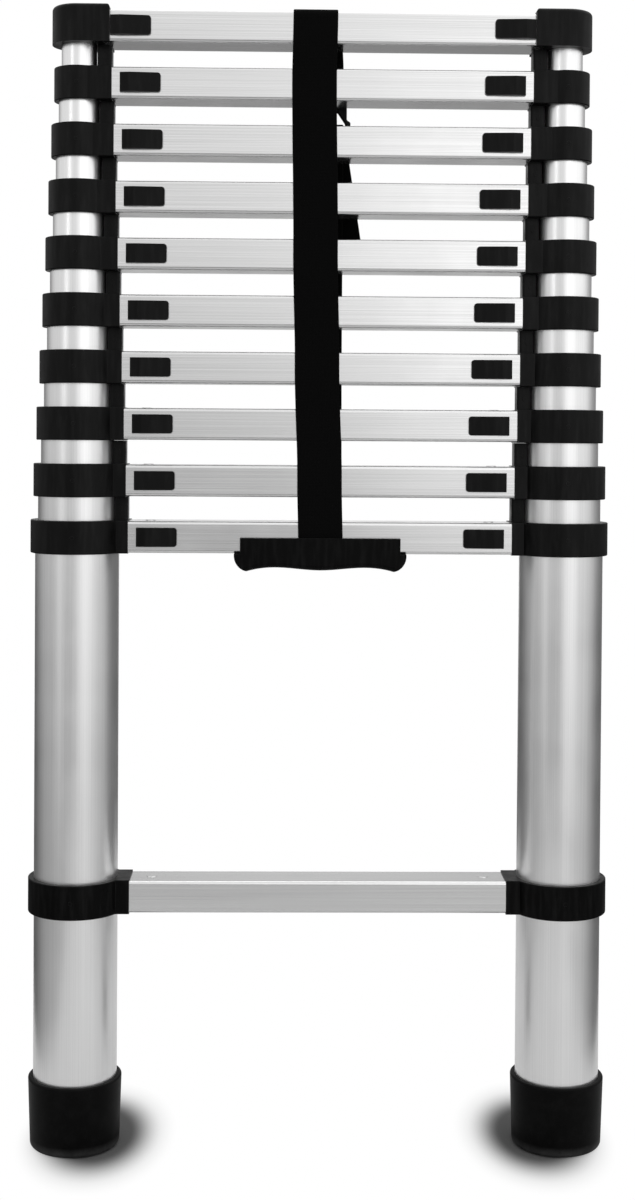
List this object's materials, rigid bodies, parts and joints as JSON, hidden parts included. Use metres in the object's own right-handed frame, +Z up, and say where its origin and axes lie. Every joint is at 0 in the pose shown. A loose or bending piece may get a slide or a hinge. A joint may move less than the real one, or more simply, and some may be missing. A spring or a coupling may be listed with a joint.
{
  "type": "telescopic ladder",
  "caption": "Collapsed telescopic aluminium ladder whose sections slide out of one another, with sprung rung latches, rubber feet, a webbing strap and a carry handle.",
  "frame": {"origin": "on the floor, midway between the two feet", "axes": "+X along the rungs to the right seen from the front, -Y is the front, +Z is up along the stiles"},
  "size_m": [0.4866, 0.0796, 0.9525],
  "materials": {
    "tube_aluminium": "satin anodised",
    "rung_aluminium": "satin extruded",
    "black_nylon": "moulded, fine texture",
    "foot_rubber": "matt",
    "webbing": "woven"
  },
  "bodies": {
    "base": {"base_tubes": "tube_aluminium", "rung_1": "rung_aluminium", "lower_brackets": "black_nylon", "rung_2": "rung_aluminium", "collars_2": "black_nylon", "foot_left": "foot_rubber", "foot_right": "foot_rubber", "carry_handle": "black_nylon"},
    "section_3": {"tubes_3": "tube_aluminium", "rung_3": "rung_aluminium", "collars_3": "black_nylon"},
    "section_4": {"tubes_4": "tube_aluminium", "rung_4": "rung_aluminium", "collars_4": "black_nylon"},
    "section_5": {"tubes_5": "tube_aluminium", "rung_5": "rung_aluminium", "collars_5": "black_nylon"},
    "section_6": {"tubes_6": "tube_aluminium", "rung_6": "rung_aluminium", "collars_6": "black_nylon"},
    "section_7": {"tubes_7": "tube_aluminium", "rung_7": "rung_aluminium", "collars_7": "black_nylon"},
    "section_8": {"tubes_8": "tube_aluminium", "rung_8": "rung_aluminium", "collars_8": "black_nylon"},
    "section_9": {"tubes_9": "tube_aluminium", "rung_9": "rung_aluminium", "collars_9": "black_nylon"},
    "section_10": {"tubes_10": "tube_aluminium", "rung_10": "rung_aluminium", "collars_10": "black_nylon"},
    "section_11": {"tubes_11": "tube_aluminium", "rung_11": "rung_aluminium", "end_caps": "black_nylon", "strap": "webbing", "strap_ring": "black_nylon", "strap_tail": "webbing"},
    "latch_2_left": {"latch_2_left": "black_nylon"},
    "latch_2_right": {"latch_2_right": "black_nylon"},
    "latch_3_left": {"latch_3_left": "black_nylon"},
    "latch_3_right": {"latch_3_right": "black_nylon"},
    "latch_4_left": {"latch_4_left": "black_nylon"},
    "latch_4_right": {"latch_4_right": "black_nylon"},
    "latch_5_left": {"latch_5_left": "black_nylon"},
    "latch_5_right": {"latch_5_right": "black_nylon"},
    "latch_6_left": {"latch_6_left": "black_nylon"},
    "latch_6_right": {"latch_6_right": "black_nylon"},
    "latch_7_left": {"latch_7_left": "black_nylon"},
    "latch_7_right": {"latch_7_right": "black_nylon"},
    "latch_8_left": {"latch_8_left": "black_nylon"},
    "latch_8_right": {"latch_8_right": "black_nylon"},
    "latch_9_left": {"latch_9_left": "black_nylon"},
    "latch_9_right": {"latch_9_right": "black_nylon"},
    "latch_10_left": {"latch_10_left": "black_nylon"},
    "latch_10_right": {"latch_10_right": "black_nylon"},
    "latch_11_left": {"latch_11_left": "black_nylon"},
    "latch_11_right": {"latch_11_right": "black_nylon"}
  },
  "joints": [
    {"name": "section_3_slide", "type": "slide", "parent": "base", "child": "section_3", "axis": [0, 0, 1], "range_m": [0, 0.253]},
    {"name": "section_4_slide", "type": "slide", "parent": "section_3", "child": "section_4", "axis": [0, 0, 1], "range_m": [0, 0.253]},
    {"name": "section_5_slide", "type": "slide", "parent": "section_4", "child": "section_5", "axis": [0, 0, 1], "range_m": [0, 0.253]},
    {"name": "section_6_slide", "type": "slide", "parent": "section_5", "child": "section_6", "axis": [0, 0, 1], "range_m": [0, 0.253]},
    {"name": "section_7_slide", "type": "slide", "parent": "section_6", "child": "section_7", "axis": [0, 0, 1], "range_m": [0, 0.253]},
    {"name": "section_8_slide", "type": "slide", "parent": "section_7", "child": "section_8", "axis": [0, 0, 1], "range_m": [0, 0.253]},
    {"name": "section_9_slide", "type": "slide", "parent": "section_8", "child": "section_9", "axis": [0, 0, 1], "range_m": [0, 0.253]},
    {"name": "section_10_slide", "type": "slide", "parent": "section_9", "child": "section_10", "axis": [0, 0, 1], "range_m": [0, 0.253]},
    {"name": "section_11_slide", "type": "slide", "parent": "section_10", "child": "section_11", "axis": [0, 0, 1], "range_m": [0, 0.253]},
    {"name": "latch_2_left_slide", "type": "slide", "parent": "base", "child": "latch_2_left", "axis": [1, 0, 0], "range_m": [0, 0.012], "stiffness_N_per_m": 300, "springref_m": -0.012},
    {"name": "latch_2_right_slide", "type": "slide", "parent": "base", "child": "latch_2_right", "axis": [-1, 0, 0], "range_m": [0, 0.012], "stiffness_N_per_m": 300, "springref_m": -0.012},
    {"name": "latch_3_left_slide", "type": "slide", "parent": "section_3", "child": "latch_3_left", "axis": [1, 0, 0], "range_m": [0, 0.012], "stiffness_N_per_m": 300, "springref_m": -0.012},
    {"name": "latch_3_right_slide", "type": "slide", "parent": "section_3", "child": "latch_3_right", "axis": [-1, 0, 0], "range_m": [0, 0.012], "stiffness_N_per_m": 300, "springref_m": -0.012},
    {"name": "latch_4_left_slide", "type": "slide", "parent": "section_4", "child": "latch_4_left", "axis": [1, 0, 0], "range_m": [0, 0.012], "stiffness_N_per_m": 300, "springref_m": -0.012},
    {"name": "latch_4_right_slide", "type": "slide", "parent": "section_4", "child": "latch_4_right", "axis": [-1, 0, 0], "range_m": [0, 0.012], "stiffness_N_per_m": 300, "springref_m": -0.012},
    {"name": "latch_5_left_slide", "type": "slide", "parent": "section_5", "child": "latch_5_left", "axis": [1, 0, 0], "range_m": [0, 0.012], "stiffness_N_per_m": 300, "springref_m": -0.012},
    {"name": "latch_5_right_slide", "type": "slide", "parent": "section_5", "child": "latch_5_right", "axis": [-1, 0, 0], "range_m": [0, 0.012], "stiffness_N_per_m": 300, "springref_m": -0.012},
    {"name": "latch_6_left_slide", "type": "slide", "parent": "section_6", "child": "latch_6_left", "axis": [1, 0, 0], "range_m": [0, 0.012], "stiffness_N_per_m": 300, "springref_m": -0.012},
    {"name": "latch_6_right_slide", "type": "slide", "parent": "section_6", "child": "latch_6_right", "axis": [-1, 0, 0], "range_m": [0, 0.012], "stiffness_N_per_m": 300, "springref_m": -0.012},
    {"name": "latch_7_left_slide", "type": "slide", "parent": "section_7", "child": "latch_7_left", "axis": [1, 0, 0], "range_m": [0, 0.012], "stiffness_N_per_m": 300, "springref_m": -0.012},
    {"name": "latch_7_right_slide", "type": "slide", "parent": "section_7", "child": "latch_7_right", "axis": [-1, 0, 0], "range_m": [0, 0.012], "stiffness_N_per_m": 300, "springref_m": -0.012},
    {"name": "latch_8_left_slide", "type": "slide", "parent": "section_8", "child": "latch_8_left", "axis": [1, 0, 0], "range_m": [0, 0.012], "stiffness_N_per_m": 300, "springref_m": -0.012},
    {"name": "latch_8_right_slide", "type": "slide", "parent": "section_8", "child": "latch_8_right", "axis": [-1, 0, 0], "range_m": [0, 0.012], "stiffness_N_per_m": 300, "springref_m": -0.012},
    {"name": "latch_9_left_slide", "type": "slide", "parent": "section_9", "child": "latch_9_left", "axis": [1, 0, 0], "range_m": [0, 0.012], "stiffness_N_per_m": 300, "springref_m": -0.012},
    {"name": "latch_9_right_slide", "type": "slide", "parent": "section_9", "child": "latch_9_right", "axis": [-1, 0, 0], "range_m": [0, 0.012], "stiffness_N_per_m": 300, "springref_m": -0.012},
    {"name": "latch_10_left_slide", "type": "slide", "parent": "section_10", "child": "latch_10_left", "axis": [1, 0, 0], "range_m": [0, 0.012], "stiffness_N_per_m": 300, "springref_m": -0.012},
    {"name": "latch_10_right_slide", "type": "slide", "parent": "section_10", "child": "latch_10_right", "axis": [-1, 0, 0], "range_m": [0, 0.012], "stiffness_N_per_m": 300, "springref_m": -0.012},
    {"name": "latch_11_left_slide", "type": "slide", "parent": "section_11", "child": "latch_11_left", "axis": [1, 0, 0], "range_m": [0, 0.012], "stiffness_N_per_m": 300, "springref_m": -0.012},
    {"name": "latch_11_right_slide", "type": "slide", "parent": "section_11", "child": "latch_11_right", "axis": [-1, 0, 0], "range_m": [0, 0.012], "stiffness_N_per_m": 300, "springref_m": -0.012}
  ]
}
